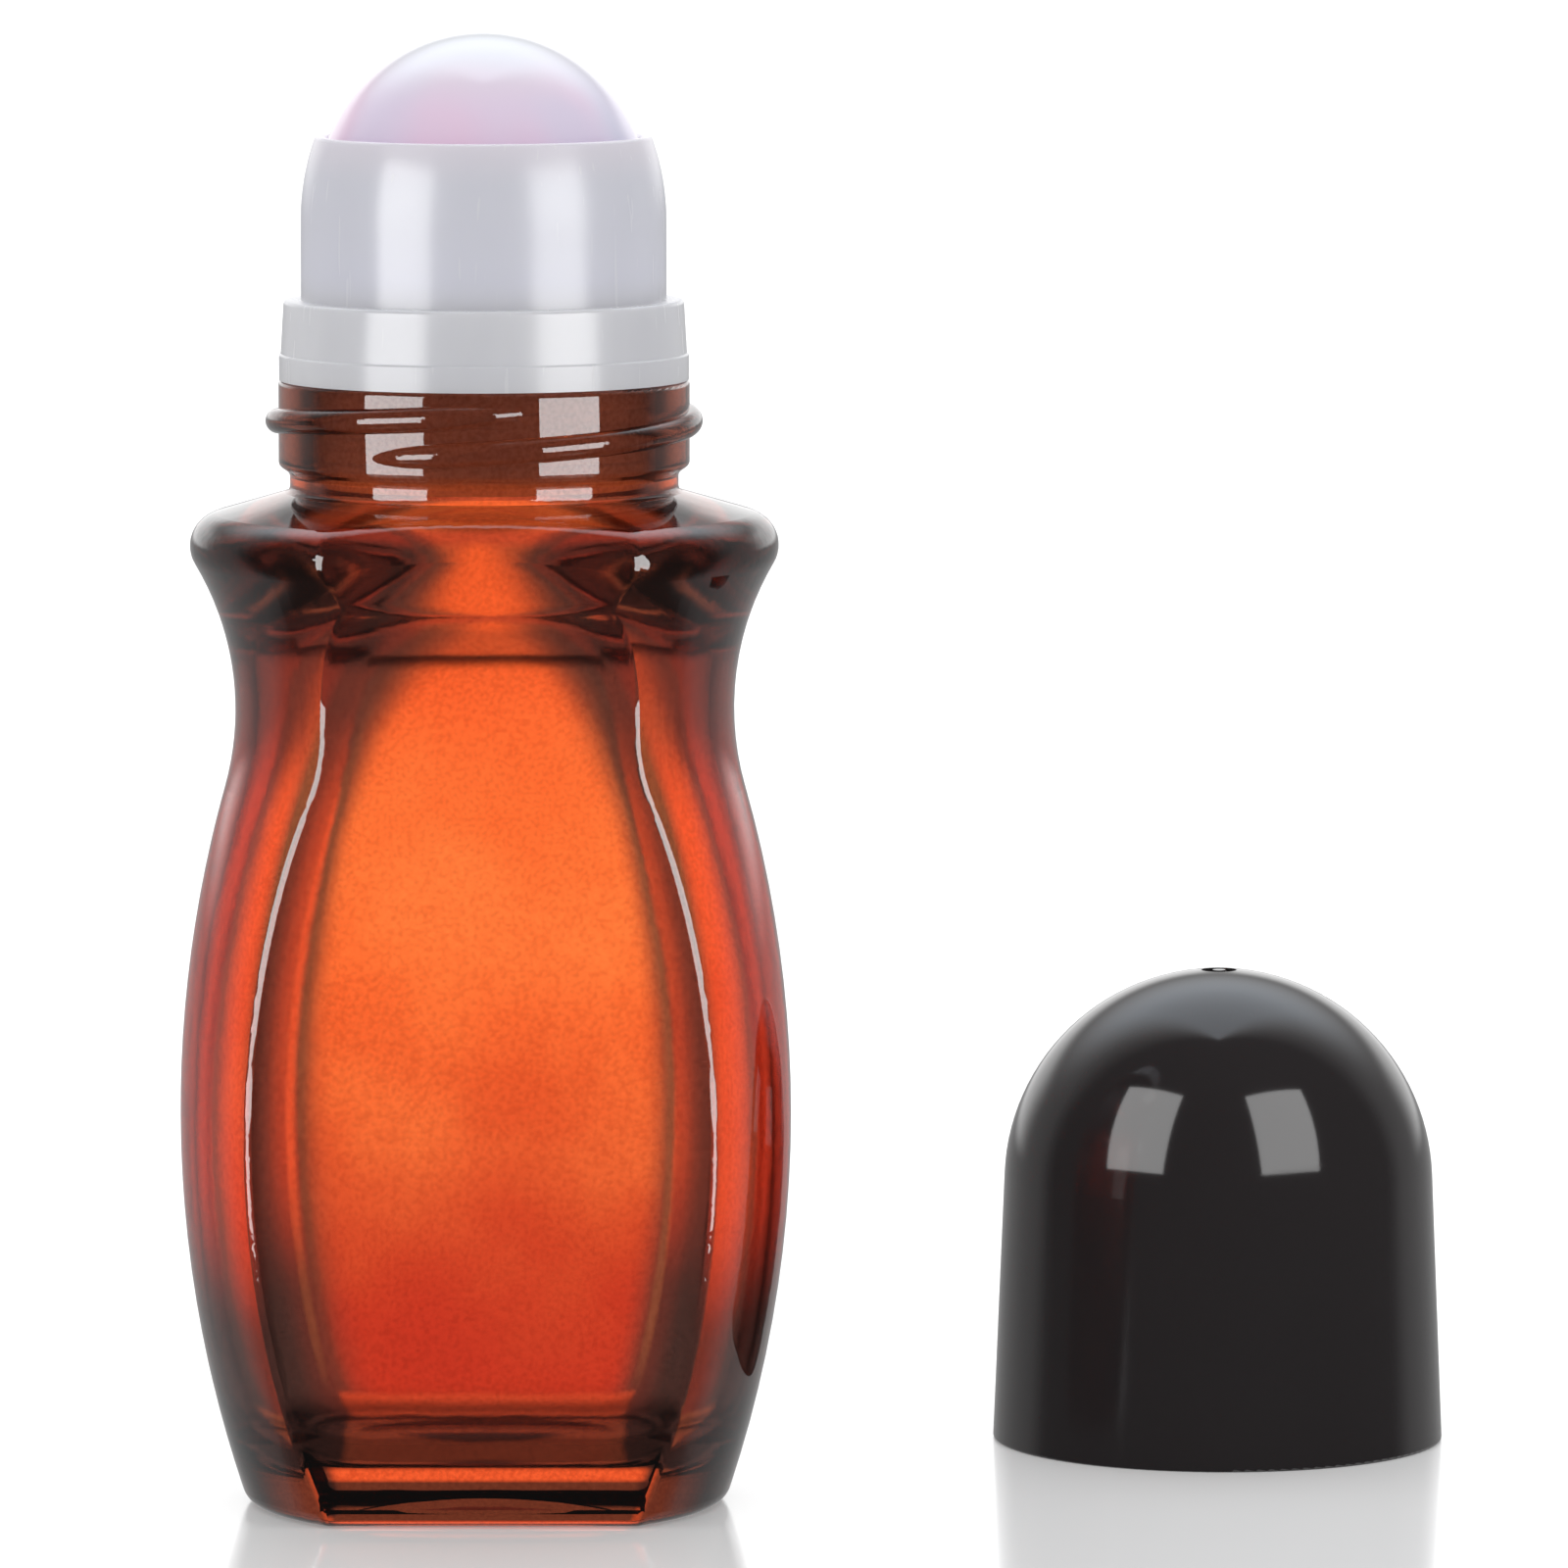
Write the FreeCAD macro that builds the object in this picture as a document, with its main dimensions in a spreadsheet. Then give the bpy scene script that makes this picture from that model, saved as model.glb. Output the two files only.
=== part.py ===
# Roll-on bottle: amber glass bottle, push-in ball housing, roller ball and screw cap taken off.
# Millimetres, +Z up. The origin is on the standing plane at the bottle's axis, and the front panel faces -Y.
import FreeCAD, Part
import math
import os
import re

import Sketcher

SIZES = {
    # Bottle body: a round, waisted side, described by its sharp corners before rounding
    "base_radius": 18.4,
    "belly_radius": 23.45,
    "belly_height": 30.0,
    "waist_radius": 19.1,
    "waist_rise": 31.3,
    "shoulder_width": 8.4,
    "rim_rise": 14.0,
    "rim_round": 2.6,
    "heel_round": 1.6,
    "recess_radius": 10.0,
    "recess_depth": 0.9,
    # Flat front and back panels, each by its distance from the bottle's axis
    "panel_base": 14.3,
    "panel_belly": 15.4,
    "panel_belly_height": 36.0,
    "panel_waist": 15.0,
    "facet_shelf": 2.8,
    "facet_height": 5.0,
    "facet_lean": 1.1,
    "facet_round": 2.2,
    "ridge_round": 0.8,
    # Shoulder and neck
    "shoulder_rise": 2.7,
    "groove_height": 1.4,
    "groove_flare": 0.6,
    "groove_depth": 0.85,
    "neck_radius": 15.7,
    "neck_length": 6.5,
    "neck_lip_round": 0.4,
    "neck_root_round": 0.5,
    # Glass thickness and the hollow inside
    "side_wall": 2.0,
    "panel_wall": 3.6,
    "floor_thickness": 4.0,
    "floor_round": 5.0,
    "inner_ridge_round": 8.0,
    "inner_shoulder_start": 6.7,
    "inner_neck_drop": 3.0,
    "neck_wall": 2.6,
    "bore_step": 0.2,
    # Two-start thread on the neck and inside the cap
    "thread_lead": 5.6,
    "thread_width": 1.8,
    "thread_height": 1.0,
    "thread_inset": 1.4,
    "thread_sink": 0.3,
    "cap_thread_width": 0.8,
    "cap_thread_gap": 0.2,
    "cap_thread_inset": 3.0,
    # Ball housing
    "plug_gap": 0.03,
    "plug_wall": 1.2,
    "plug_length": 8.0,
    "plug_taper": 0.5,
    "rib_depth": 0.25,
    "rib_width": 1.2,
    "rib_pitch": 2.0,
    "collar_inset": 0.05,
    "collar_height": 6.1,
    "collar_band": 1.9,
    "collar_step": 0.14,
    "collar_taper": 0.24,
    "collar_round": 0.3,
    "cup_wall": 1.15,
    "crown_drop": 1.7,
    "lip_height": 4.75,
    "lip_land": 0.95,
    "lip_round": 0.3,
    "feed_radius": 5.0,
    # Roller ball
    "ball_radius": 12.7,
    "ball_wall": 1.4,
    "ball_gap": 0.1,
    "ball_lift": 13.8,
    # Screw cap
    "cap_skirt_wall": 1.05,
    "cap_height": 37.5,
    "cap_draft": 0.85,
    "cap_wall": 1.0,
    "cap_bore_gap": 0.1,
    "cap_bore_height": 9.2,
    "cap_ring_radius": 4.0,
    "cap_ring_width": 1.0,
    "cap_ring_depth": 0.9,
    "cap_rim_round": 0.25,
    "gate_radius": 1.4,
    "gate_depth": 0.3,
    "gate_nub_radius": 0.5,
    "gate_nub_height": 0.25,
    # Where the cap stands beside the bottle
    "cap_place_right": 57.4,
    "cap_place_back": 30.0,
    # Length by which cutting shapes run past what they cut
    "overrun": 2.0,
}

# Thread angles in degrees, from +X towards +Y, and counts
THREAD_STARTS = 2
THREAD_FIRST_ANGLE = -123.5
THREAD_SWEEP = 228.0
THREAD_FADE = 26.0
THREAD_SECTIONS = 25
THREAD_TIP_SHARE = 0.5
CAP_THREAD_SWEEP = 170.0
RIB_COUNT = 3

# Sections of the blown hollow: points round each one, and how many lie in its floor, body and shoulder
HOLLOW_POINTS = 40
FLOOR_SECTIONS = 5
BODY_SECTIONS = 6
SHOULDER_SECTIONS = 6

# Turning sense of an arc along an outline
LEFT, RIGHT = 1, -1

doc = FreeCAD.newDocument("roll_on_bottle")
sheet = doc.addObject("Spreadsheet::Sheet", "sizes")
for row, (alias, length) in enumerate(SIZES.items(), start=1):
    sheet.set(f"A{row}", alias)
    sheet.set(f"B{row}", str(length))
    sheet.setAlias(f"B{row}", alias)
doc.recompute()


def bound(text):
    """The expression over size names, as another object of the document has to write it."""
    return re.sub(r"\b[a-z][a-z_]*\b(?!\()", r"sizes.\g<0>", text)


def value(text):
    """The present value of an expression over size names."""
    return float(sheet.evalExpression(text))


# Heights of the stacked features, as expressions over the sizes
WAIST = "(belly_height + waist_rise)"
RIM = f"({WAIST} + rim_rise)"
SHOULDER = f"({RIM} + shoulder_rise)"
GROOVE_TOP = f"({SHOULDER} + groove_height)"
NECK_START = f"({GROOVE_TOP} + groove_flare)"
NECK_TOP = f"({NECK_START} + neck_length)"
HOLLOW_TOP = f"({NECK_START} - inner_neck_drop)"
BALL = f"({NECK_TOP} + ball_lift)"

# Radii that several pieces share
RIM_RADIUS = "(neck_radius + shoulder_width)"
FACET_FOOT = "(neck_radius + facet_shelf)"
BORE = "(neck_radius - neck_wall)"
PLUG = f"({BORE} - plug_gap)"
SOCKET = "(ball_radius + ball_gap)"
CUP = f"({SOCKET} + cup_wall)"
COLLAR = "(neck_radius - collar_inset)"
CAP_BORE = "(neck_radius + thread_height + cap_bore_gap)"
CAP = f"({CAP_BORE} + cap_skirt_wall)"
CAP_DOME = f"({CAP} - cap_draft)"


def bind(sketch, kind, text, *where):
    """Add a dimension to the sketch and tie it to its expression."""
    dimension = sketch.addConstraint(Sketcher.Constraint(kind, *where, value(text)))
    sketch.setExpression(f"Constraints[{dimension}]", bound(text))


def pin_corner(sketch, edge, end, across, up):
    """Fix one end of an edge at its distances from the sketch's axes."""
    for kind, axis, text in (("DistanceX", -2, across), ("DistanceY", -1, up)):
        if text == "0":
            sketch.addConstraint(Sketcher.Constraint("PointOnObject", edge, end, axis))
        elif value(text) < 0:
            bind(sketch, kind, f"-({text})", edge, end, -1, 1)
        else:
            bind(sketch, kind, text, -1, 1, edge, end)


def arc_between(start, finish, radius, turn):
    """The arc under a half circle from start to finish, which turns left or right on the way."""
    chord = finish - start
    half = chord.Length / 2
    sideways = FreeCAD.Vector(-chord.y, chord.x, 0).normalize() * turn
    centre = start + chord / 2 + sideways * math.sqrt(max(radius**2 - half**2, 0))
    circle = Part.Circle(centre, FreeCAD.Vector(0, 0, 1), radius)
    first, last = (start, finish) if turn == LEFT else (finish, start)
    return Part.ArcOfCircle(circle, circle.parameter(first), circle.parameter(last))


def origin_plane(body, role):
    return next(feature for feature in body.Origin.OriginFeatures if feature.Role == role)


def draw(body, plane, name, corners):
    """A closed outline. Each corner is (x, y), or (x, y, radius, turn) where an arc leads to the next one."""
    sketch = body.newObject("Sketcher::SketchObject", name)
    sketch.AttachmentSupport = [(origin_plane(body, plane), "")]
    sketch.MapMode = "FlatFace"
    places = [FreeCAD.Vector(value(corner[0]), value(corner[1]), 0) for corner in corners]
    edges = []
    for corner, start, finish in zip(corners, places, places[1:] + places[:1]):
        if len(corner) == 2:
            geometry, ends = Part.LineSegment(start, finish), (1, 2)
        else:
            geometry = arc_between(start, finish, value(corner[2]), corner[3])
            ends = (1, 2) if corner[3] == LEFT else (2, 1)
        edges.append((sketch.addGeometry(geometry, False), *ends))
    for corner, (edge, first, last), following in zip(corners, edges, edges[1:] + edges[:1]):
        sketch.addConstraint(Sketcher.Constraint("Coincident", edge, last, following[0], following[1]))
        pin_corner(sketch, edge, first, corner[0], corner[1])
        if len(corner) > 2:
            bind(sketch, "Radius", corner[2], edge)
    return sketch


def revolve(body, sketch, name, kind="Revolution"):
    """Turn an outline about the bottle's axis."""
    solid = body.newObject(f"PartDesign::{kind}", name)
    solid.Profile = sketch
    solid.ReferenceAxis = (sketch, ["V_Axis"])
    doc.recompute()
    return solid


def face_kind(face):
    """What a face is on the bottle: panel, facet of the rim, round side, cone, cylinder or level plane."""
    surface = face.Surface
    if isinstance(surface, Part.Plane) and abs(surface.Axis.y) > abs(surface.Axis.z):
        return "facet"
    if isinstance(surface, Part.Cylinder):
        return "panel" if abs(surface.Axis.x) > abs(surface.Axis.z) else "cylinder"
    if isinstance(surface, (Part.Toroid, Part.SurfaceOfRevolution)):
        return "side"
    return {Part.Plane: "plane", Part.Cone: "cone"}.get(type(surface), "other")


def round_edges(body, name, rounds):
    """Round the edges between two kinds of face, each pair of kinds with its own size."""
    rounded = doc.addObject("Part::Fillet", name)
    rounded.Base = body
    picked = []
    for number, edge in enumerate(body.Shape.Edges, start=1):
        kinds = {face_kind(face) for face in body.Shape.ancestorsOfType(edge, Part.Face)}
        for first, second, size in rounds:
            if kinds == {first, second}:
                picked.append((number, value(size), value(size)))
    rounded.Edges = picked
    doc.recompute()
    return rounded


def round_circles(body, name, size, circles):
    """Round the circular edges at the given radii and heights."""
    base = body.Tip
    places = [(value(radius), value(height)) for radius, height in circles]
    names = []
    for number, edge in enumerate(base.Shape.Edges, start=1):
        if edge.Degenerated or not isinstance(edge.Curve, Part.Circle):
            continue
        here = (edge.Curve.Radius, edge.Curve.Center.z)
        if any(math.dist(here, place) < value(size) / 2 for place in places):
            names.append(f"Edge{number}")
    rounded = body.newObject("PartDesign::Fillet", name)
    rounded.Base = (base, names)
    rounded.setExpression("Radius", bound(size))
    doc.recompute()


def sagitta_radius(chord, rise):
    """Radius of an arc that is square to its axis at one end and drops by rise over chord."""
    return f"((({chord})^2 + ({rise})^2) / (2 * ({rise})))"


def waisted_side(base, belly, belly_height, waist, flared, flare_rise):
    """Corners of a side that swells to its belly, draws in to the waist and flares out over a rise."""
    flare = sagitta_radius(flare_rise, f"{flared} - {waist}")
    reach = f"({belly} - {waist})"
    rise = f"({WAIST} - {belly_height})"
    both = sagitta_radius(rise, reach)
    upper = f"({both} - {flare})"
    lower = sagitta_radius(belly_height, f"{belly} - {base}")
    share = f"({upper} / {both})"
    turn_across = f"({belly} - {upper} + ({both} - {reach}) * {share})"
    turn_height = f"({belly_height} + {rise} * {share})"
    return [
        (base, "0", lower, LEFT),
        (belly, belly_height, upper, LEFT),
        (turn_across, turn_height, flare, RIGHT),
        (flared, f"({WAIST} + {flare_rise})"),
    ]


def cut_panels(body, name, side):
    """Cut the front and back away outside a panel's side line."""
    foot_across, top_across, top = side[0][0], *side[-1]
    outside = f"({top_across} + belly_radius)"
    corners = [*side, (outside, top), (outside, "-overrun"), (foot_across, "-overrun")]
    cut = body.newObject("PartDesign::Pocket", name)
    cut.Profile = draw(body, "YZ_Plane", f"{name}_line", corners)
    cut.Type = "ThroughAll"
    cut.SideType = "Symmetric"
    doc.recompute()
    other = body.newObject("PartDesign::Mirrored", f"{name}_back")
    other.Originals = [cut]
    other.MirrorPlane = (origin_plane(body, "XZ_Plane"), [""])
    body.Tip = other
    doc.recompute()


def thread_ridge(angle, start_height, sweep, wall_radius, reach, width):
    """A rounded thread ridge that stands out from a wall by its reach, fading into the wall at both ends."""
    sink = math.copysign(value("thread_sink"), reach)
    sections = []
    for number in range(THREAD_SECTIONS):
        along = sweep * number / (THREAD_SECTIONS - 1)
        full = math.sin(math.radians(90 * min(1, along / THREAD_FADE, (sweep - along) / THREAD_FADE)))
        half = width / 2 * (THREAD_TIP_SHARE + (1 - THREAD_TIP_SHARE) * full)
        crest = wall_radius - sink / 2 + (reach + sink / 2) * full
        height = start_height + value("thread_lead") * along / 360
        turned = FreeCAD.Rotation(FreeCAD.Vector(0, 0, 1), angle + along)
        low = turned.multVec(FreeCAD.Vector(wall_radius - sink, 0, height - half))
        middle = turned.multVec(FreeCAD.Vector(crest, 0, height))
        high = turned.multVec(FreeCAD.Vector(wall_radius - sink, 0, height + half))
        face = Part.Arc(low, middle, high).toShape()
        back = Part.LineSegment(high, low).toShape()
        sections.append(Part.Wire([face, back]))
    return Part.makeLoft(sections, True, False)


def add_threads(name, start_height, sweep, wall_radius, reach, width):
    """The thread's starts, evenly spaced about the axis."""
    ridges = []
    for start in range(THREAD_STARTS):
        ridge = doc.addObject("Part::Feature", f"{name}_{start + 1}")
        angle = THREAD_FIRST_ANGLE + 360 / THREAD_STARTS * start
        height, radius = value(start_height), value(wall_radius)
        ridge.Shape = thread_ridge(angle, height, sweep, radius, value(reach), value(width))
        ridges.append(ridge)
    return ridges


def fuse(name, pieces):
    joined = doc.addObject("Part::MultiFuse", name)
    joined.Shapes = pieces
    doc.recompute()
    return joined


def make_bottle_outside():
    """The bottle's outside as solid glass: turned, cut flat in front and behind, and rounded."""
    body = doc.addObject("PartDesign::Body", "bottle_outside")
    side = waisted_side("base_radius", "belly_radius", "belly_height", "waist_radius", RIM_RADIUS, "rim_rise")
    groove = "(neck_radius - groove_depth)"
    corners = [
        ("0", "0"),
        *side,
        (groove, SHOULDER),
        (groove, GROOVE_TOP),
        ("neck_radius", NECK_START),
        ("neck_radius", NECK_TOP),
        ("0", NECK_TOP),
    ]
    revolve(body, draw(body, "XZ_Plane", "bottle_side", corners), "bottle_turned")
    recess = [
        ("0", "recess_depth", sagitta_radius("recess_radius", "recess_depth"), RIGHT),
        ("recess_radius", "0"),
        ("recess_radius", "-overrun"),
        ("0", "-overrun"),
    ]
    revolve(body, draw(body, "XZ_Plane", "recess_line", recess), "base_recess", "Groove")
    facet = (FACET_FOOT, "(rim_rise - facet_height)")
    panel = waisted_side("panel_base", "panel_belly", "panel_belly_height", "panel_waist", *facet)
    facet_top = f"({RIM} + rim_round / 2)"
    lean = "(facet_lean * (facet_height + rim_round / 2) / facet_height)"
    cut_panels(body, "panel", [*panel, (f"({FACET_FOOT} + {lean})", facet_top)])
    rounds = [
        ("panel", "side", "ridge_round"),
        ("facet", "side", "ridge_round"),
        ("facet", "panel", "facet_round"),
        ("cone", "facet", "rim_round"),
        ("cone", "side", "rim_round"),
        ("plane", "side", "heel_round"),
        ("plane", "panel", "heel_round"),
        ("plane", "cylinder", "neck_lip_round"),
        ("cone", "cylinder", "neck_root_round"),
    ]
    return round_edges(body, "bottle_rounded", rounds)


def waisted_distance(height, base, belly, belly_height, waist, flared, flare_rise):
    """Distance from the axis of a waisted side at a height, by the same arcs as its outline."""
    belly, low, waist = value(belly), value(belly_height), value(waist)
    flare = value(sagitta_radius(flare_rise, f"{flared} - {waist}"))
    rise = value(WAIST) - low
    both = value(sagitta_radius(str(rise), f"{belly} - {waist}"))
    if height < low:
        radius = value(sagitta_radius(str(low), f"{belly} - {base}"))
    elif height < low + rise * (both - flare) / both:
        radius = both - flare
    else:
        return waist + flare - math.sqrt(flare**2 - (height - value(WAIST)) ** 2)
    return belly - radius + math.sqrt(radius**2 - (height - low) ** 2)


def hollow_section(height, across, depth, corner):
    """A closed line at a height: a circle cut flat in front and behind, with rounded corners."""
    centre = math.sqrt(max((across - corner) ** 2 - (depth - corner) ** 2, 0))
    side_end = math.atan2(depth - corner, centre)
    flat_start = math.atan2(depth, centre)
    points = []
    for number in range(HOLLOW_POINTS):
        angle = 2 * math.pi * number / HOLLOW_POINTS
        x, y = abs(math.cos(angle)), abs(math.sin(angle))
        turn = math.atan2(y, x)
        if turn <= side_end:
            reach = across
        elif turn >= flat_start:
            reach = depth / y
        else:
            along = x * centre + y * (depth - corner)
            reach = along + math.sqrt(along**2 - (across - corner) ** 2 + corner**2)
        points.append(FreeCAD.Vector(reach * math.cos(angle), reach * math.sin(angle), height))
    line = Part.BSplineCurve()
    line.interpolate(points, PeriodicFlag=True)
    return Part.Wire([line.toShape()])


def wall_section(height, inset):
    """Half width, half depth and corner radius of the hollow at a height, drawn in by an inset."""
    side = ("base_radius", "belly_radius", "belly_height", "waist_radius", RIM_RADIUS, "rim_rise")
    facet = (FACET_FOOT, "(rim_rise - facet_height)")
    panel = ("panel_base", "panel_belly", "panel_belly_height", "panel_waist", *facet)
    across = waisted_distance(height, *side) - value("side_wall") - inset
    depth = waisted_distance(height, *panel) - value("panel_wall") - inset
    return across, depth, value("inner_ridge_round") - inset


def make_bottle_hollow():
    """The blown space inside the glass: rounded at its floor and ridges, drawn in smoothly to the neck."""
    sections = []
    floor, floor_round = value("floor_thickness"), value("floor_round")
    for number in range(FLOOR_SECTIONS):
        turn = math.pi / 2 * number / FLOOR_SECTIONS
        height = floor + floor_round * (1 - math.cos(turn))
        inset = floor_round * (1 - math.sin(turn))
        sections.append(hollow_section(height, *wall_section(height, inset)))
    low, waist = floor + floor_round, value(WAIST)
    for number in range(BODY_SECTIONS + 1):
        height = low + (waist - low) * number / BODY_SECTIONS
        sections.append(hollow_section(height, *wall_section(height, 0)))
    high, neck = value(f"{WAIST} + inner_shoulder_start"), value(HOLLOW_TOP)
    bore = value(f"{BORE} - bore_step")
    for number in range(SHOULDER_SECTIONS + 1):
        share = number / SHOULDER_SECTIONS
        eased = share**2 * (3 - 2 * share)
        across, depth, corner = (size + (bore - size) * eased for size in wall_section(waist, 0))
        sections.append(hollow_section(high + (neck - high) * share, across, depth, corner))
    sections.append(hollow_section(neck + value("overrun"), bore, bore, bore))
    blown = doc.addObject("Part::Feature", "hollow_blown")
    blown.Shape = Part.makeLoft(sections, True, False)
    bored = doc.addObject("Part::Cylinder", "neck_bored")
    bored.setExpression("Radius", bound(BORE))
    bored.setExpression("Height", bound(f"{NECK_TOP} - {HOLLOW_TOP} + overrun"))
    bored.setExpression("Placement.Base.z", bound(HOLLOW_TOP))
    return fuse("bottle_hollow", [blown, bored])


def make_bottle():
    """The glass bottle with its neck thread."""
    start = f"({NECK_START} + thread_inset)"
    ridges = add_threads("neck_thread", start, THREAD_SWEEP, "neck_radius", "thread_height", "thread_width")
    solid = fuse("bottle_threaded", [make_bottle_outside(), *ridges])
    bottle = doc.addObject("Part::Cut", "bottle")
    bottle.Base = solid
    bottle.Tool = make_bottle_hollow()
    bottle.Label = "glass_bottle"
    return bottle


def on_sphere(radius, across):
    """Height of a sphere's wall above its centre, at a distance from the axis."""
    return f"sqrt({radius}^2 - {across}^2)"


def make_housing():
    """The ball housing: plug with sealing ribs, collar on the glass rim, and ball cup with its lip."""
    body = doc.addObject("PartDesign::Body", "housing")
    plug_inside = f"({PLUG} - rib_depth - plug_wall)"
    plug_outside = f"({PLUG} - rib_depth)"
    tip = f"({NECK_TOP} - plug_length)"
    rib_arc = sagitta_radius("rib_width / 2", "rib_depth")
    ribs = []
    for number in range(RIB_COUNT):
        middle = f"({NECK_TOP} - plug_length + plug_taper + rib_width + rib_pitch * {number})"
        ribs.append((plug_outside, f"({middle} - rib_width / 2)", rib_arc, LEFT))
        ribs.append((plug_outside, f"({middle} + rib_width / 2)"))
    band_top = f"({NECK_TOP} + collar_band)"
    collar_top = f"({NECK_TOP} + collar_height)"
    shelf = f"({COLLAR} - collar_step)"
    # A plug inside the ball's socket meets the cup directly, and a wider one by a web under the collar
    if value(plug_inside) < value(SOCKET):
        joint = [(plug_inside, f"({BALL} - {on_sphere(CUP, plug_inside)})")]
    else:
        web = f"({collar_top} - cup_wall)"
        joint = [(on_sphere(CUP, f"({BALL} - {web})"), web), (plug_inside, web)]
    lip = f"({BALL} + lip_height)"
    mouth = on_sphere(SOCKET, "lip_height")
    lip_outside = f"({mouth} + lip_land)"
    crown = sagitta_radius("crown_drop + lip_height", f"{CUP} - {lip_outside}")
    corners = [
        ("feed_radius", f"({BALL} - {on_sphere(CUP, 'feed_radius')})", CUP, LEFT),
        *joint,
        (plug_inside, tip),
        (f"({plug_outside} - plug_taper)", tip),
        (plug_outside, f"({tip} + plug_taper)"),
        *ribs,
        (plug_outside, NECK_TOP),
        (COLLAR, NECK_TOP),
        (COLLAR, band_top),
        (shelf, f"({band_top} + collar_step)"),
        (f"({shelf} - collar_taper)", collar_top),
        (CUP, collar_top),
        (CUP, f"({BALL} - crown_drop)", crown, LEFT),
        (lip_outside, lip),
        (mouth, lip, SOCKET, RIGHT),
        ("feed_radius", f"({BALL} - {on_sphere(SOCKET, 'feed_radius')})"),
    ]
    revolve(body, draw(body, "XZ_Plane", "housing_side", corners), "housing_turned")
    round_circles(body, "lip_rounded", "lip_round", [(lip_outside, lip), (mouth, lip)])
    round_circles(body, "collar_rounded", "collar_round", [(f"({shelf} - collar_taper)", collar_top)])
    body.Label = "ball_housing"
    return body


def make_ball():
    """The hollow roller ball."""
    outside = doc.addObject("Part::Sphere", "ball_outside")
    outside.setExpression("Radius", bound("ball_radius"))
    inside = doc.addObject("Part::Sphere", "ball_inside")
    inside.setExpression("Radius", bound("ball_radius - ball_wall"))
    ball = doc.addObject("Part::Cut", "ball")
    ball.Base = outside
    ball.Tool = inside
    ball.setExpression("Placement.Base.z", bound(BALL))
    ball.Label = "roller_ball"
    return ball


def tangent_corner(across, drop, radius, centre):
    """Where a line from a point below a dome's centre touches the dome."""
    far = f"(({across})^2 + ({drop})^2)"
    along = f"sqrt({far} - ({radius})^2)"
    touch_across = f"((({radius})^2 * {across} + {radius} * {along} * {drop}) / {far})"
    touch_height = f"({centre} + ({radius} * {along} * {across} - ({radius})^2 * {drop}) / {far})"
    return touch_across, touch_height


def make_cap():
    """The screw cap: tapered skirt, dome with its moulding gate mark, ball ring and inside thread."""
    body = doc.addObject("PartDesign::Body", "cap_shell")
    centre = f"(cap_height - {CAP_DOME})"
    inner_dome = f"({CAP_DOME} - cap_wall)"
    ring_outside = "(cap_ring_radius + cap_ring_width)"
    ring_end = f"({centre} + {on_sphere(inner_dome, ring_outside)} - cap_ring_depth)"
    gate_floor = "(cap_height - gate_depth)"
    gate_tip = f"({gate_floor} + gate_nub_height)"
    inner_top = f"({centre} + {inner_dome})"
    skirt = tangent_corner(CAP, centre, CAP_DOME, centre)
    inner_skirt = tangent_corner(CAP_BORE, f"({centre} - cap_bore_height)", inner_dome, centre)
    corners = [
        (CAP_BORE, "0"),
        (CAP, "0"),
        (*skirt, CAP_DOME, LEFT),
        ("gate_radius", f"({centre} + {on_sphere(CAP_DOME, 'gate_radius')})"),
        ("gate_radius", gate_floor),
        ("gate_nub_radius", gate_floor),
        ("gate_nub_radius", gate_tip),
        ("0", gate_tip),
        ("0", inner_top, inner_dome, RIGHT),
        ("cap_ring_radius", f"({centre} + {on_sphere(inner_dome, 'cap_ring_radius')})"),
        ("cap_ring_radius", ring_end),
        (ring_outside, ring_end),
        (ring_outside, f"({centre} + {on_sphere(inner_dome, ring_outside)})", inner_dome, RIGHT),
        inner_skirt,
        (CAP_BORE, "cap_bore_height"),
    ]
    revolve(body, draw(body, "XZ_Plane", "cap_side", corners), "cap_turned")
    round_circles(body, "cap_rim_rounded", "cap_rim_round", [(CAP, "0"), (CAP_BORE, "0")])
    reach = f"(neck_radius + cap_thread_gap - {CAP_BORE})"
    width = "cap_thread_width"
    ridges = add_threads("cap_thread", "cap_thread_inset", CAP_THREAD_SWEEP, CAP_BORE, reach, width)
    cap = fuse("cap", [body, *ridges])
    cap.setExpression("Placement.Base.x", bound("cap_place_right"))
    cap.setExpression("Placement.Base.y", bound("cap_place_back"))
    cap.Label = "screw_cap"
    return cap


pieces = [make_bottle(), make_housing(), make_ball(), make_cap()]
doc.recompute()
for item in doc.Objects:
    if {"Invalid", "Error"} & set(item.State):
        raise RuntimeError(f"{item.Label} did not compute")
for piece in pieces:
    if piece.Shape.isNull() or not piece.Shape.isValid() or len(piece.Shape.Solids) != 1:
        raise RuntimeError(f"{piece.Label} is not one sound solid")
os.makedirs("parts", exist_ok=True)
for piece in pieces:
    piece.Shape.exportStep(f"parts/{piece.Label}.step")
    print(piece.Label, round(piece.Shape.Volume), piece.Shape.BoundBox)
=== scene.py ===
"""Roll-on bottle: looks, floor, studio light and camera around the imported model."""

import math

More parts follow.
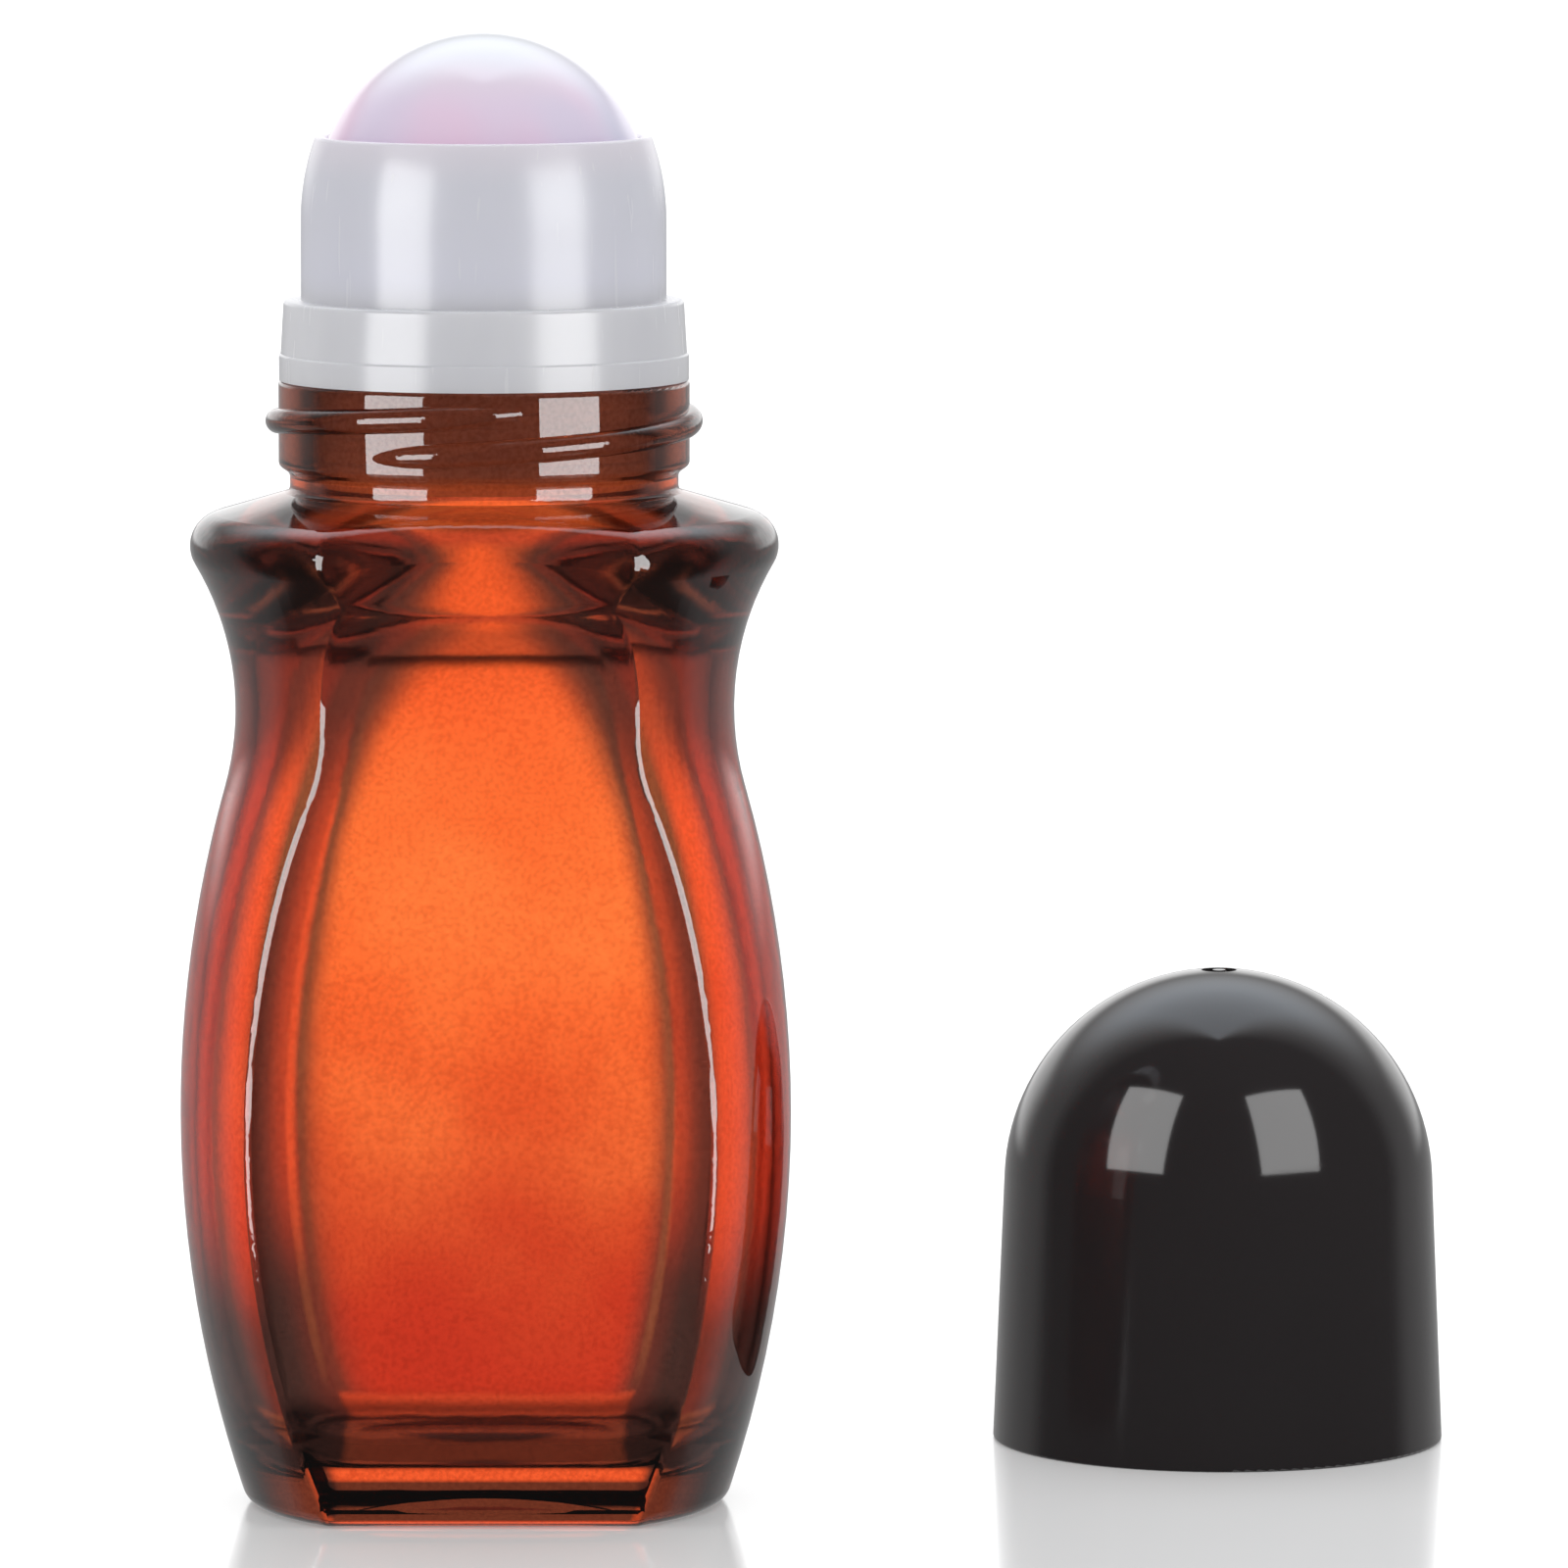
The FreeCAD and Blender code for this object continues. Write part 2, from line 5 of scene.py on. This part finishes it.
import bmesh
import bpy
from mathutils import Euler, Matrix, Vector


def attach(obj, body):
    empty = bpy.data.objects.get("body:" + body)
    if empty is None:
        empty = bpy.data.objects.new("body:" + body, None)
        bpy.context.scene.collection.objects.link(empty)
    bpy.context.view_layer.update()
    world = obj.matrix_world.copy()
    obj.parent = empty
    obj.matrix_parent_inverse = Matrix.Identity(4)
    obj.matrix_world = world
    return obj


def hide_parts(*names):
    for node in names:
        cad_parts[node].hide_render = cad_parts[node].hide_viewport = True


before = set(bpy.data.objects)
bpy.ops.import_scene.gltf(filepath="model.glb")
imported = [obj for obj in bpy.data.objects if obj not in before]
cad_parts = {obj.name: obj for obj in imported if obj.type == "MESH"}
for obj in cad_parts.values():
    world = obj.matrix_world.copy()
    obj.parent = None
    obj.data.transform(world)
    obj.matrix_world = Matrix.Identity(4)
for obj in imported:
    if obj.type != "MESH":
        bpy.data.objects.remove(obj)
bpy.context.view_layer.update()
scene = bpy.context.scene
MM = 0.001

# Heights of the bottle's features above the floor, in metres
NECK_LIP = 86.0 * MM
INNER_FLOOR = 4.0 * MM

# Where the cap stands, in metres
CAP_AXIS = (57.4 * MM, 30.0 * MM)

# The ridge between panel and side, in millimetres: half width at the belly, its height there, and its curve
RIDGE_REACH = 17.7
RIDGE_HEIGHT = 31.5
RIDGE_CURVE = 0.0064

# Colours of the glass by zone, as red, green and blue. The panel, cloud and grain tones are the glass's own
# amber, the top and low panel tones make it redder higher up and darker lower down, the inner line, foot
# and neck root are painted glow, and the rest are painted shade
GLASS_TONES_AND_PAINTED_LIGHT = {
    "panel": (0.90, 0.145, 0.028),
    "panel_cloud": (0.96, 0.21, 0.046),
    # Redder towards the top, and darker and redder towards the bottom
    "panel_top": (0.87, 0.115, 0.024),
    "panel_low": (0.50, 0.034, 0.013),
    # Painted shade along the panels' edges and right beside the ridges
    "panel_edge_shade": (0.10, 0.04, 0.028),
    "beside_ridge_shade": (0.04, 0.028, 0.023),
    # Painted glow along the line of the inner wall's edge
    "inner_line_glow": (0.95, 0.20, 0.05),
    # Painted shade at the edges of the waist
    "waist_edge_shade": (0.10, 0.032, 0.02),
    # Painted shade on the sides, darker towards the back, the foot and the waist
    "side": (0.72, 0.055, 0.018),
    "side_back_shade": (0.45, 0.035, 0.017),
    "side_low_shade": (0.05, 0.02, 0.016),
    "side_waist_shade": (0.13, 0.027, 0.017),
    # Painted shade at the rim's corners, on the shoulder and in the crease under the rim
    "rim_corner_shade": (0.035, 0.016, 0.013),
    "shoulder": (0.30, 0.035, 0.018),
    "rim_crease_shade": (0.09, 0.024, 0.016),
    # Painted shade above the foot and in the frame round it, and a painted glow line at the foot
    "above_foot_shade": (0.02, 0.007, 0.005),
    "foot": (1.0, 0.17, 0.045),
    "foot_frame_shade": (0.03, 0.015, 0.013),
    # A painted glow at the neck's root, and painted shade on the neck
    "neck_root_glow": (0.85, 0.15, 0.04),
    "neck": (0.17, 0.05, 0.027),
    "grain": (0.75, 0.64, 0.60),
}

# Where each zone of the glass begins and where it is full, in millimetres of height
HEIGHTS = {
    "high": (50.0, 66.0),
    "line_start": (10.0, 16.0),
    "line_end": (64.0, 56.0),
    "waist_panel": (52.0, 62.0),
    "waist_side": (53.0, 62.0),
    "side_low_shade": (26.0, 14.0),
    "rim": (66.0, 71.0),
    "shoulder": (74.8, 76.0),
    "crease_start": (66.2, 66.8),
    "crease_end": (69.4, 68.4),
    "above_foot_shade": (11.5, 8.0),
    "foot": (4.9, 4.4),
    "frame_start": (0.4, 0.7),
    "frame_end": (4.0, 3.6),
    "neck_root_glow": (76.2, 77.2),
    "neck": (79.0, 80.3),
}
PANEL_LOW = (48.0, 14.0)
CLOUD_REACH = 7.0

# The same on the housing, the ball and the cap: the socket's painted shade, its lip's painted light, the
# painted highlight on the ball's crown and the cap's duller wall
COLLAR_TOP = (92.0, 95.0)
SOCKET_LIP = (101.5, 104.8)
BALL_CROWN_HIGHLIGHT = (107.0, 113.0)
CAP_WALL = (21.0, 15.0)

# The same across the glass, in millimetres outward from the ridge
EDGES = {
    "panel_edge_shade": (-5.5, -1.2),
    "beside_ridge_shade": (-2.4, -0.9),
    "line_start": (-3.8, -3.4),
    "line_end": (-2.8, -3.2),
    "waist_edge_shade": (-6.5, -2.5),
    "side_back_shade": (1.5, 6.5),
    "side": (-0.4, 0.8),
    "panel": (0.5, -0.5),
}

# The same outward from the bottle's axis, and from its middle to the front
RIM_CORNER = (7.5, 11.0)
FRONT = (0.0, -1.0)

# The studio, as directions: height is the sine of the angle up, azimuth is in radians from straight behind
LEVEL_TOP = (0.55, 0.35)
LEVEL_FOOT = (-0.68, -0.48)
BEHIND = (0.8, 0.3)
AROUND = (1.25, 1.6)
BELOW = (-0.5, -0.75)
UP_HEIGHT = (0.3, 0.75)
UP_WIDTH = (1.2, 0.5)
HORIZON_FOOT = (-0.04, 0.04)
HORIZON_TOP = (0.4, 0.22)
HORIZON_WIDTH = (0.9, 0.5)
BEFORE = (1.1, 1.4)

# Brightness of the studio as seen through the glass, mirrored in the surfaces and as soft light
GLASS_DIM = 0.04
GLASS_BELOW = 0.7
GLASS_BEHIND = 1.4
MIRROR_SIDES = 0.42
MIRROR_BEFORE_LOSS = 0.32
MIRROR_UP = 1.7
SOFT_LIGHT = 0.55
UP_TONE = (0.90, 0.97, 1.05)
WHITE = (1.0, 1.0, 1.0)


class Wire:
    """A socket of a shader, with sums and products that add Math nodes."""

    def __init__(self, tree, socket=None):
        self.tree = tree
        self.socket = socket

    def node(self, kind, settings=None, out=0, **sockets):
        """Add a node, set its settings, then set or link its sockets, and give one of its outputs."""
        made = self.tree.nodes.new(kind)
        for name, setting in (settings or {}).items():
            setattr(made, name, setting)
        for name, source in sockets.items():
            by_number = name[0] == "i" and name[1:].isdigit()
            place = made.inputs[int(name[1:]) if by_number else name.replace("_", " ")]
            if isinstance(source, Wire):
                self.tree.links.new(source.socket, place)
            else:
                place.default_value = source
        return Wire(self.tree, made.outputs[out]) if made.outputs else None

    def other(self, name):
        """Another output of the same node."""
        return Wire(self.tree, self.socket.node.outputs[name])

    def math(self, operation, first, second=0.0):
        return self.node("ShaderNodeMath", {"operation": operation}, i0=first, i1=second)

    def __add__(self, other):
        return self.math("ADD", self, other)

    def __radd__(self, other):
        return self.math("ADD", other, self)

    def __sub__(self, other):
        return self.math("SUBTRACT", self, other)

    def __rsub__(self, other):
        return self.math("SUBTRACT", other, self)

    def __mul__(self, other):
        return self.math("MULTIPLY", self, other)

    def __rmul__(self, other):
        return self.math("MULTIPLY", other, self)

    def __truediv__(self, other):
        return self.math("DIVIDE", self, other)

    def __rtruediv__(self, other):
        return self.math("DIVIDE", other, self)

    def __pow__(self, other):
        return self.math("POWER", self, other)


def fade(wire, low, high):
    """0 below low and 1 above high, smoothly between. The two may be given in either order."""
    smooth = {"interpolation_type": "SMOOTHSTEP"}
    return wire.node("ShaderNodeMapRange", smooth, i0=wire, i1=low, i2=high, i3=0.0, i4=1.0)


def blend(share, first, second):
    """One colour where the share is 0 and another where it is 1.

    The sockets go by number, because a Mix node has the same names for its numbers, vectors and colours.
    """
    sides = [tone if isinstance(tone, Wire) else (*tone, 1.0) for tone in (first, second)]
    return share.node("ShaderNodeMix", {"data_type": "RGBA"}, out=2, i0=share, i6=sides[0], i7=sides[1])


def start_material(name):
    """A new material with an empty tree, and a wire to add nodes with."""
    material = bpy.data.materials.new(name)
    material.use_nodes = True
    material.node_tree.nodes.clear()
    return material, Wire(material.node_tree)


def object_place(wire):
    """A point's place on its object, in metres."""
    return wire.node("ShaderNodeTexCoord").other("Object")


def along(place, axis):
    """A point's X, Y or Z in millimetres."""
    return place.node("ShaderNodeSeparateXYZ", Vector=place).other(axis) / MM


def noise(place, scale, detail):
    return place.node("ShaderNodeTexNoise", Vector=place, Scale=scale, Detail=detail)


def stretch(place, scale):
    """The place with its parts scaled one by one."""
    return place.node("ShaderNodeVectorMath", {"operation": "MULTIPLY"}, i0=place, i1=scale)


def glass_tone_and_painted_light(place):
    """The glass's own amber, bright in the panels, with painted shade along the ridges, sides, waist, rim,
    shoulder, neck and foot, and painted glow along the inner line, the foot and the neck root.
    """
    x, y, z = (along(place, axis) for axis in "XYZ")
    across = place.math("ABSOLUTE", x)
    from_ridge = across - (RIDGE_REACH - RIDGE_CURVE * (z - RIDGE_HEIGHT) ** 2.0)
    at_height = {name: fade(z, *ends) for name, ends in HEIGHTS.items()}
    at_edge = {name: fade(from_ridge, *ends) for name, ends in EDGES.items()}
    front = fade(y, *FRONT)
    cloud = fade(noise(place, scale=75.0, detail=3.0), 0.35, 0.68)
    tint = blend(cloud, GLASS_TONES_AND_PAINTED_LIGHT["panel"], GLASS_TONES_AND_PAINTED_LIGHT["panel_cloud"])
    # Where the painted glow runs along the inner wall's edge
    line = at_edge["line_start"] * at_edge["line_end"] * at_height["line_start"] * at_height["line_end"]
    # Painted shade on the sides: darker towards the back, the foot and the waist
    side = blend(at_edge["side_back_shade"], GLASS_TONES_AND_PAINTED_LIGHT["side"], GLASS_TONES_AND_PAINTED_LIGHT["side_back_shade"])
    side = blend(at_height["side_low_shade"], side, GLASS_TONES_AND_PAINTED_LIGHT["side_low_shade"])
    side = blend(at_height["waist_side"] * 0.85, side, GLASS_TONES_AND_PAINTED_LIGHT["side_waist_shade"])
    front_panel = front * at_edge["panel"]
    # Where painted shade lies in the crease under the rim
    crease = at_height["crease_start"] * at_height["crease_end"] * front_panel
    # Where painted shade lies in the frame round the foot
    foot_frame_shade = at_height["frame_start"] * at_height["frame_end"] * front_panel
    # Each zone's share and tone, laid over the ones before it: the panel's own gradient first, then painted
    # shade and painted glow
    zones = [
        # Redder towards the top, and darker and redder towards the bottom
        (at_height["high"] * 0.8, GLASS_TONES_AND_PAINTED_LIGHT["panel_top"]),
        (fade(z + CLOUD_REACH * cloud, *PANEL_LOW), GLASS_TONES_AND_PAINTED_LIGHT["panel_low"]),
        # Painted shade along the panels' edges and right beside the ridges
        (at_edge["panel_edge_shade"] * 0.94, GLASS_TONES_AND_PAINTED_LIGHT["panel_edge_shade"]),
        (at_edge["beside_ridge_shade"] * 0.8, GLASS_TONES_AND_PAINTED_LIGHT["beside_ridge_shade"]),
        # Painted glow along the inner wall's edge
        (line * front * 0.6, GLASS_TONES_AND_PAINTED_LIGHT["inner_line_glow"]),
        # Painted shade at the waist's edges
        (at_height["waist_panel"] * at_edge["waist_edge_shade"] * 0.7, GLASS_TONES_AND_PAINTED_LIGHT["waist_edge_shade"]),
        # Painted shade on the sides
        (at_edge["side"], side),
        # Painted shade at the rim's corners, on the shoulder and in the crease
        (at_height["rim"] * fade(across, *RIM_CORNER) * 0.96, GLASS_TONES_AND_PAINTED_LIGHT["rim_corner_shade"]),
        (at_height["shoulder"], GLASS_TONES_AND_PAINTED_LIGHT["shoulder"]),
        (crease * 0.6, GLASS_TONES_AND_PAINTED_LIGHT["rim_crease_shade"]),
        # Painted shade above the foot and round it, with a painted glow line at the foot
        (at_height["above_foot_shade"] * front_panel * 0.95, GLASS_TONES_AND_PAINTED_LIGHT["above_foot_shade"]),
        (at_height["foot"] * at_edge["panel"], blend(foot_frame_shade, GLASS_TONES_AND_PAINTED_LIGHT["foot"], GLASS_TONES_AND_PAINTED_LIGHT["foot_frame_shade"])),
        # Painted glow at the neck's root, and painted shade on the neck
        (at_height["neck_root_glow"], GLASS_TONES_AND_PAINTED_LIGHT["neck_root_glow"]),
        (at_height["neck"] * 0.9, GLASS_TONES_AND_PAINTED_LIGHT["neck"]),
    ]
    for share, tone in zones:
        tint = blend(share, tint, tone)
    return tint


def amber_glass():
    """Clear glass under its amber tint, with painted shade and glow, fine grain, a wavy outside and a
    softer inside.
    """
    material, wire = start_material("amber_glass")
    place = object_place(wire)
    inside = wire.node("ShaderNodeAttribute", {"attribute_name": "inside"}).other("Fac")
    grain = blend(fade(noise(place, scale=2900.0, detail=2.0), 0.3, 0.64), GLASS_TONES_AND_PAINTED_LIGHT["grain"], WHITE)
    multiply = {"data_type": "RGBA", "blend_type": "MULTIPLY"}
    grained = wire.node("ShaderNodeMix", multiply, out=2, i0=1.0, i6=glass_tone_and_painted_light(place), i7=grain)
    waves = noise(place, scale=110.0, detail=2.0)
    surface = wire.node(
        "ShaderNodeBsdfPrincipled",
        Base_Color=blend(inside, grained, WHITE),
        Roughness=inside * 0.14,
        IOR=1.5,
        Transmission_Weight=1.0,
        Normal=wire.node("ShaderNodeBump", Strength=0.5, Distance=0.12 * MM, Height=waves),
    )
    body = wire.node("ShaderNodeVolumeAbsorption", Color=(0.75, 0.5, 0.4, 1.0), Density=50.0)
    wire.node("ShaderNodeOutputMaterial", Surface=surface, Volume=body)
    return material


def natural_plastic():
    """Milky, slightly blue plastic with flow marks and fine handling scratches, painted bluish shade in the
    ball's socket and painted light on its lip.
    """
    material, wire = start_material("natural_plastic")
    place = object_place(wire)
    z = along(place, "Z")
    flow = fade(noise(stretch(place, (1.0, 1.0, 0.35)), scale=90.0, detail=3.0), 0.3, 0.7)
    milky = blend(flow, (0.73, 0.73, 0.77), (0.82, 0.82, 0.85))
    # Painted bluish shade in the ball's socket above the collar, and painted lighter, pinker light on its
    # lip
    socket_shade = blend(fade(z, *COLLAR_TOP), milky, (0.79, 0.79, 0.88))
    lip_light = blend(fade(z, *SOCKET_LIP), socket_shade, (0.86, 0.82, 0.91))
    scratch = fade(noise(stretch(place, (1.0, 1.0, 0.06)), scale=2400.0, detail=1.0), 0.70, 0.76)
    surface = wire.node(
        "ShaderNodeBsdfPrincipled",
        Base_Color=blend(scratch * 0.25, lip_light, (0.85, 0.85, 0.86)),
        Roughness=0.20 + 0.12 * scratch + 0.06 * flow,
        IOR=1.5,
        Specular_IOR_Level=0.38,
        Subsurface_Weight=0.25,
        Subsurface_Radius=(1.0, 1.0, 1.1),
        Subsurface_Scale=2.0 * MM,
    )
    wire.node("ShaderNodeOutputMaterial", Surface=surface)
    return material


def pearl_plastic():
    """White pearl with soft pink and blue patches under a polished surface, and a painted bluish-white
    highlight on its crown.
    """
    material, wire = start_material("pearl_plastic")
    place = object_place(wire)
    z = along(place, "Z")
    pink = fade(noise(place, scale=85.0, detail=1.0), 0.36, 0.56)
    blue = fade(noise(stretch(place, (1.0, 1.2, 1.4)), scale=60.0, detail=1.0), 0.45, 0.65)
    pearl = blend(pink, (0.90, 0.80, 0.99), (1.0, 0.74, 0.94))
    pearl = blend(blue * 0.7, pearl, (0.80, 0.83, 1.0))
    surface = wire.node(
        "ShaderNodeBsdfPrincipled",
        # A painted bluish-white highlight on the ball's crown
        Base_Color=blend(fade(z, *BALL_CROWN_HIGHLIGHT), pearl, (0.88, 0.90, 0.96)),
        Roughness=0.16,
        IOR=1.5,
        Coat_Weight=0.3,
        Coat_Roughness=0.05,
    )
    wire.node("ShaderNodeOutputMaterial", Surface=surface)
    return material


def black_plastic():
    """Glossy black moulding with faint scuffs, a little duller on its wall."""
    material, wire = start_material("black_plastic")
    place = object_place(wire)
    z = along(place, "Z")
    scuff = fade(noise(stretch(place, (0.15, 0.15, 1.0)), scale=900.0, detail=2.0), 0.62, 0.75)
    cloud = noise(place, scale=70.0, detail=2.0)
    surface = wire.node(
        "ShaderNodeBsdfPrincipled",
        Base_Color=blend(cloud, (0.023, 0.0195, 0.0205), (0.027, 0.023, 0.024)),
        Roughness=0.09 + 0.04 * scuff + 0.06 * fade(z, *CAP_WALL),
        IOR=1.5,
    )
    wire.node("ShaderNodeOutputMaterial", Surface=surface)
    return material


def pale_floor():
    """Plain white floor, a little glossy."""
    material, wire = start_material("pale_floor")
    surface = wire.node(
        "ShaderNodeBsdfPrincipled",
        Base_Color=(0.9, 0.9, 0.9, 1.0),
        Roughness=0.12,
        Specular_IOR_Level=0.4,
        Emission_Color=(*WHITE, 1.0),
        Emission_Strength=0.2,
    )
    wire.node("ShaderNodeOutputMaterial", Surface=surface)
    return material


def dress(piece, material):
    piece.data.materials.clear()
    piece.data.materials.append(material)


def bottle_copy():
    """The CAD bottle with its doubles merged, its normals kept and its inner wall marked."""
    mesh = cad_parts["glass_bottle"].data.copy()
    mesh.name = "amber_bottle"
    kept = mesh.attributes.new("cad_normal", "FLOAT_VECTOR", "CORNER")
    flat = [0.0] * (3 * len(mesh.loops))
    mesh.corner_normals.foreach_get("vector", flat)
    kept.data.foreach_set("vector", flat)
    work = bmesh.new()
    work.from_mesh(mesh)
    bmesh.ops.remove_doubles(work, verts=work.verts, dist=1e-7)
    work.faces.ensure_lookup_table()
    inside = work.faces.layers.float.new("inside")
    floor_middle = Vector((0, 0, INNER_FLOOR))
    seed = min(work.faces, key=lambda face: (face.calc_center_median() - floor_middle).length)
    waiting = [seed]
    reached = {seed}
    while waiting:
        face = waiting.pop()
        face[inside] = 1.0
        for edge in face.edges:
            for near in edge.link_faces:
                if near not in reached and near.calc_center_median().z < NECK_LIP:
                    reached.add(near)
                    waiting.append(near)
    work.to_mesh(mesh)
    work.free()
    flat = [0.0] * (3 * len(mesh.loops))
    mesh.attributes["cad_normal"].data.foreach_get("vector", flat)
    mesh.normals_split_custom_set([flat[i:i + 3] for i in range(0, len(flat), 3)])
    mesh.attributes.remove(mesh.attributes["cad_normal"])
    piece = bpy.data.objects.new("amber_bottle", mesh)
    scene.collection.objects.link(piece)
    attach(piece, "bottle")
    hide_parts("glass_bottle")
    return piece


def make_floor():
    work = bmesh.new()
    bmesh.ops.create_grid(work, x_segments=1, y_segments=1, size=8.0)
    mesh = bpy.data.meshes.new("floor")
    work.to_mesh(mesh)
    work.free()
    floor = bpy.data.objects.new("floor", mesh)
    scene.collection.objects.link(floor)
    floor.visible_transmission = False
    floor.visible_glossy = False
    dress(floor, pale_floor())


def area(name, place, aim, width, height, strength, lit=None, diffuse=True, gloss=True):
    """A flat light of a given brightness, which may light only the given pieces."""
    data = bpy.data.lights.new(name, "AREA")
    data.shape = "RECTANGLE"
    data.size = width
    data.size_y = height
    data.energy = strength * width * height * math.pi
    light = bpy.data.objects.new(name, data)
    light.location = place
    light.rotation_euler = (Vector(aim) - Vector(place)).to_track_quat("-Z", "Y").to_euler()
    light.visible_diffuse = diffuse
    light.visible_glossy = gloss
    light.visible_transmission = False
    light.visible_camera = False
    scene.collection.objects.link(light)
    if lit:
        receivers = bpy.data.collections.new(name)
        for piece in lit:
            receivers.objects.link(piece)
        light.light_linking.receiver_collection = receivers


def beside(axis, degrees, distance, height):
    """A place at an angle round an upright axis, where zero is straight in front."""
    angle = math.radians(degrees)
    return (axis[0] + distance * math.sin(angle), axis[1] - distance * math.cos(angle), height)


def make_lights():
    """A soft light overhead, and a pair of strips mirrored in the bottle and another in the cap."""
    area(
        "overhead", place=(0.0, 0.1, 1.2), aim=(0.0, 0.0, 0.0),
        width=1.6, height=1.6, strength=1.0, gloss=False,
    )
    for side in (-1, 1):
        area(
            f"strip_{side}",
            place=beside((0.0, 0.0), degrees=50.0 * side, distance=0.7, height=0.12),
            aim=(0.0, 0.0, 0.05),
            width=0.46, height=0.55, strength=10.0,
            lit=(bottle, housing, ball), diffuse=False,
        )
        area(
            f"cap_strip_{side}",
            place=beside(CAP_AXIS, degrees=32.5 * side - 4.5, distance=28.0 * MM, height=35.0 * MM),
            aim=(*CAP_AXIS, 23.5 * MM),
            width=14.0 * MM, height=19.0 * MM, strength=5.0,
            lit=(cap,), diffuse=False,
        )


def make_world():
    """Soft studio light, which each kind of ray meets at its own brightness."""
    world = bpy.data.worlds.new("studio")
    scene.world = world
    world.use_nodes = True
    world.node_tree.nodes.clear()
    wire = Wire(world.node_tree)
    x = wire.node("ShaderNodeSeparateXYZ", Vector=wire.node("ShaderNodeTexCoord"))
    z = x.other("Z")
    azimuth = wire.math("ABSOLUTE", wire.math("ARCTAN2", x, x.other("Y")))
    level = fade(z, *LEVEL_TOP) * fade(z, *LEVEL_FOOT)
    up = fade(z, *UP_HEIGHT) * fade(azimuth, *UP_WIDTH)
    horizon = fade(z, *HORIZON_FOOT) * fade(z, *HORIZON_TOP) * fade(azimuth, *HORIZON_WIDTH)
    walls = GLASS_BEHIND * fade(azimuth, *BEHIND) + fade(azimuth, *AROUND)
    through = GLASS_BELOW * fade(z, *BELOW) + level * walls
    mirror = MIRROR_SIDES - MIRROR_BEFORE_LOSS * fade(azimuth, *BEFORE) + MIRROR_UP * up + horizon
    ray = wire.node("ShaderNodeLightPath")
    refracted = ray.other("Is Transmission Ray")
    reflected = ray.other("Is Glossy Ray") * (1.0 - refracted)
    light = refracted * (GLASS_DIM + through) + reflected * mirror
    light = light + ray.other("Is Camera Ray") + SOFT_LIGHT * ray.other("Is Diffuse Ray")
    glow = wire.node("ShaderNodeBackground", Color=blend(up, WHITE, UP_TONE), Strength=light)
    wire.node("ShaderNodeOutputWorld", Surface=glow)


def make_camera():
    data = bpy.data.cameras.new("camera")
    data.lens = 271.15
    data.sensor_width = 36.0
    data.clip_end = 50.0
    camera = bpy.data.objects.new("camera", data)
    camera.location = (0.0229, -0.900, 0.150)
    camera.rotation_euler = Euler((math.radians(84.0), 0.0, 0.0))
    scene.collection.objects.link(camera)
    scene.camera = camera


bottle = bottle_copy()
housing, ball, cap = (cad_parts[name] for name in ("ball_housing", "roller_ball", "screw_cap"))
dress(bottle, amber_glass())
dress(housing, natural_plastic())
dress(ball, pearl_plastic())
dress(cap, black_plastic())
make_floor()
make_world()
make_lights()
make_camera()
scene.view_settings.view_transform = "Standard"
scene.cycles.max_bounces = 24
scene.cycles.transmission_bounces = 20
scene.cycles.glossy_bounces = 8
scene.cycles.diffuse_bounces = 3
